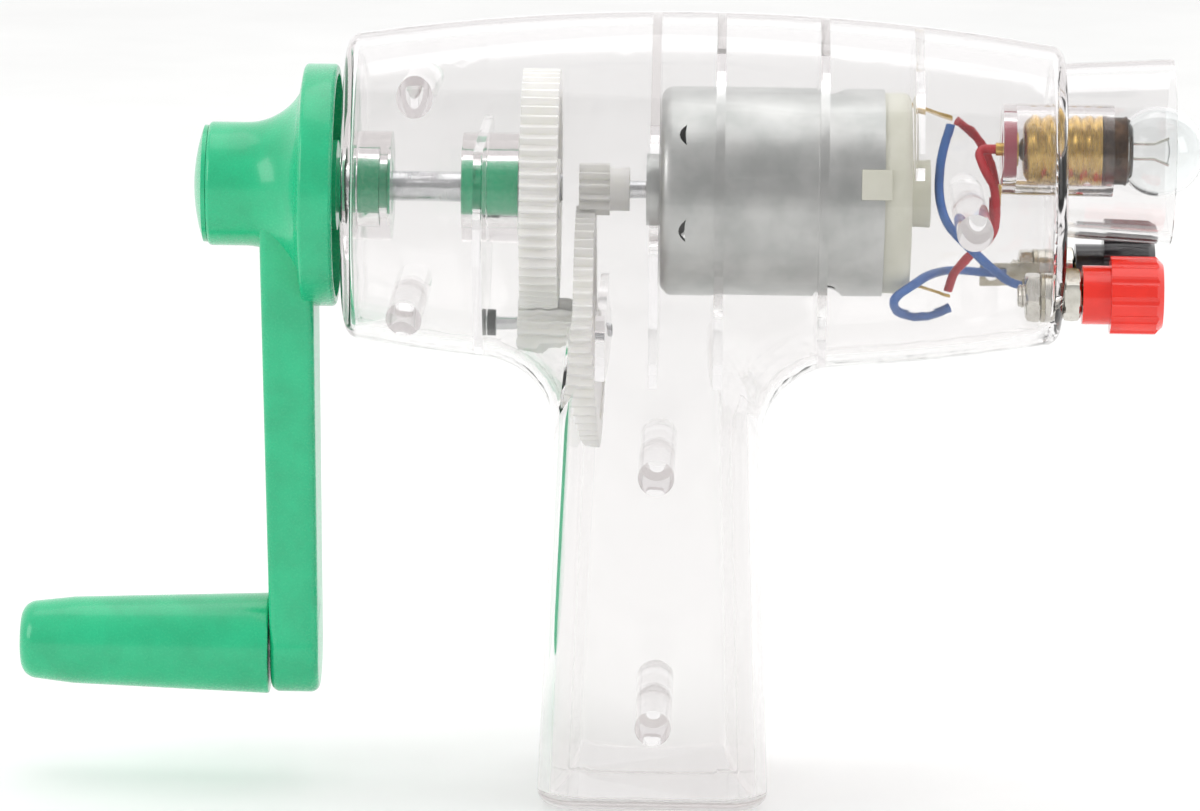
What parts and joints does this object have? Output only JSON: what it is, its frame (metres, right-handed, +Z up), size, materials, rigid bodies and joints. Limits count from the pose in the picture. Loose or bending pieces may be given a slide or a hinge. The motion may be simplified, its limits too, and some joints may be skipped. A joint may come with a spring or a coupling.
{
  "type": "hand crank generator",
  "caption": "Pistol-grip hand crank generator in a clear housing: crank and knob, gear train, small DC motor, screw-in lamp in a flared guard, red and black screw posts.",
  "frame": {"origin": "middle of the flat foot of the grip", "axes": "+X along the crank and motor axis towards the lamp, +Z up the grip, parting plane at Y = 0"},
  "size_m": [0.1576, 0.0476, 0.1046],
  "materials": {
    "clear_housing": "clear, gloss, injection moulded",
    "white_gear": "satin, moulded acetal",
    "dark_plastic": "satin, moulded",
    "green_plastic": "gloss, moulded in colour",
    "steel": "ground bright",
    "plated_steel": "zinc or nickel plated, satin",
    "cream_plastic": "satin, moulded nylon",
    "ferrite": "ground ferrite",
    "brass": "bright, drawn or turned",
    "copper": "copper, lacquered wire or bright",
    "fibre": "vulcanised fibre",
    "solder": "dull solder",
    "glass": "clear blown",
    "tungsten": "drawn",
    "red_plastic": "gloss, moulded in colour",
    "black_plastic": "gloss, moulded in colour",
    "blue_insulation": "satin wire insulation",
    "red_insulation": "satin wire insulation"
  },
  "bodies": {
    "housing": {"front_shell": "clear_housing", "rear_shell": "clear_housing", "outer_shaft_bush": "green_plastic", "inner_shaft_bush": "green_plastic", "motor_can": "plated_steel", "motor_end_bell": "cream_plastic", "motor_magnets": "ferrite", "motor_terminals": "brass", "motor_brushes": "copper", "front_motor_bush": "brass", "rear_motor_bush": "brass", "lamp_insulator": "fibre", "lamp_centre_contact": "brass", "lamp_side_contact": "brass", "outer_nuts": "plated_steel", "inner_nuts": "plated_steel", "post_washers": "plated_steel", "red_post_stud": "plated_steel", "black_post_stud": "plated_steel", "solder_lugs": "plated_steel", "blue_wire_to_red_post": "blue_insulation", "blue_wire_to_black_post": "blue_insulation", "red_wire_to_side_contact": "red_insulation", "red_wire_to_centre_contact": "red_insulation"},
    "crank": {"crank_arm": "green_plastic", "crank_cap": "green_plastic", "crank_screw": "plated_steel", "crank_shaft": "steel", "drive_gear": "white_gear", "knob_pin": "steel"},
    "knob": {"crank_knob": "green_plastic"},
    "layshaft_group": {"layshaft": "steel", "layshaft_collar": "dark_plastic", "layshaft_washer": "dark_plastic", "reduction_gear": "white_gear"},
    "armature": {"motor_shaft": "steel", "motor_pinion": "white_gear", "armature_core": "steel", "armature_windings": "copper", "commutator": "copper"},
    "red_cap_slider": {"red_cap_insert": "plated_steel"},
    "red_cap_turner": {"red_cap": "red_plastic"},
    "black_cap_slider": {"black_cap_insert": "plated_steel"},
    "black_cap_turner": {"black_cap": "black_plastic"},
    "lamp_slider": {"bulb_tip": "solder"},
    "lamp_turner": {"bulb_base": "brass", "bulb_glass": "glass", "bulb_bead": "glass", "bulb_leads": "plated_steel", "bulb_filament": "tungsten"}
  },
  "joints": [
    {"name": "crank_spin", "type": "hinge", "parent": "housing", "child": "crank", "pos_m": [0, 0, 0.0808], "axis": [1, 0, 0], "continuous": true},
    {"name": "knob_spin", "type": "hinge", "parent": "crank", "child": "knob", "pos_m": [-0.0685, 0, 0.0183], "axis": [1, 0, 0], "continuous": true},
    {"name": "layshaft_spin", "type": "hinge", "parent": "housing", "child": "layshaft_group", "pos_m": [-0.01, 0, 0.0623], "axis": [1, 0, 0], "continuous": true},
    {"name": "motor_spin", "type": "hinge", "parent": "housing", "child": "armature", "pos_m": [0, 0, 0.0808], "axis": [1, 0, 0], "continuous": true},
    {"name": "red_cap_back_off", "type": "slide", "parent": "housing", "child": "red_cap_slider", "axis": [1, 0, 0], "range_m": [0, 0.0035]},
    {"name": "red_cap_turn", "type": "hinge", "parent": "red_cap_slider", "child": "red_cap_turner", "pos_m": [0.06, -0.0095, 0.069], "axis": [1, 0, 0], "continuous": true},
    {"name": "black_cap_back_off", "type": "slide", "parent": "housing", "child": "black_cap_slider", "axis": [1, 0, 0], "range_m": [0, 0.0035]},
    {"name": "black_cap_turn", "type": "hinge", "parent": "black_cap_slider", "child": "black_cap_turner", "pos_m": [0.06, 0.0095, 0.069], "axis": [1, 0, 0], "continuous": true},
    {"name": "lamp_back_out", "type": "slide", "parent": "housing", "child": "lamp_slider", "axis": [1, 0, 0], "range_m": [0, 0.01086]},
    {"name": "lamp_turn", "type": "hinge", "parent": "lamp_slider", "child": "lamp_turner", "pos_m": [0.06, 0, 0.0869], "axis": [1, 0, 0], "continuous": true}
  ],
  "couplings": [
    {"joint": "layshaft_spin", "follows": "crank_spin", "ratio": -5.1667},
    {"joint": "motor_spin", "follows": "crank_spin", "ratio": 26.694},
    {"joint": "red_cap_turn", "follows": "red_cap_back_off", "rad_per_m": 12566},
    {"joint": "black_cap_turn", "follows": "black_cap_back_off", "rad_per_m": 12566},
    {"joint": "lamp_turn", "follows": "lamp_back_out", "rad_per_m": 3471.4}
  ]
}
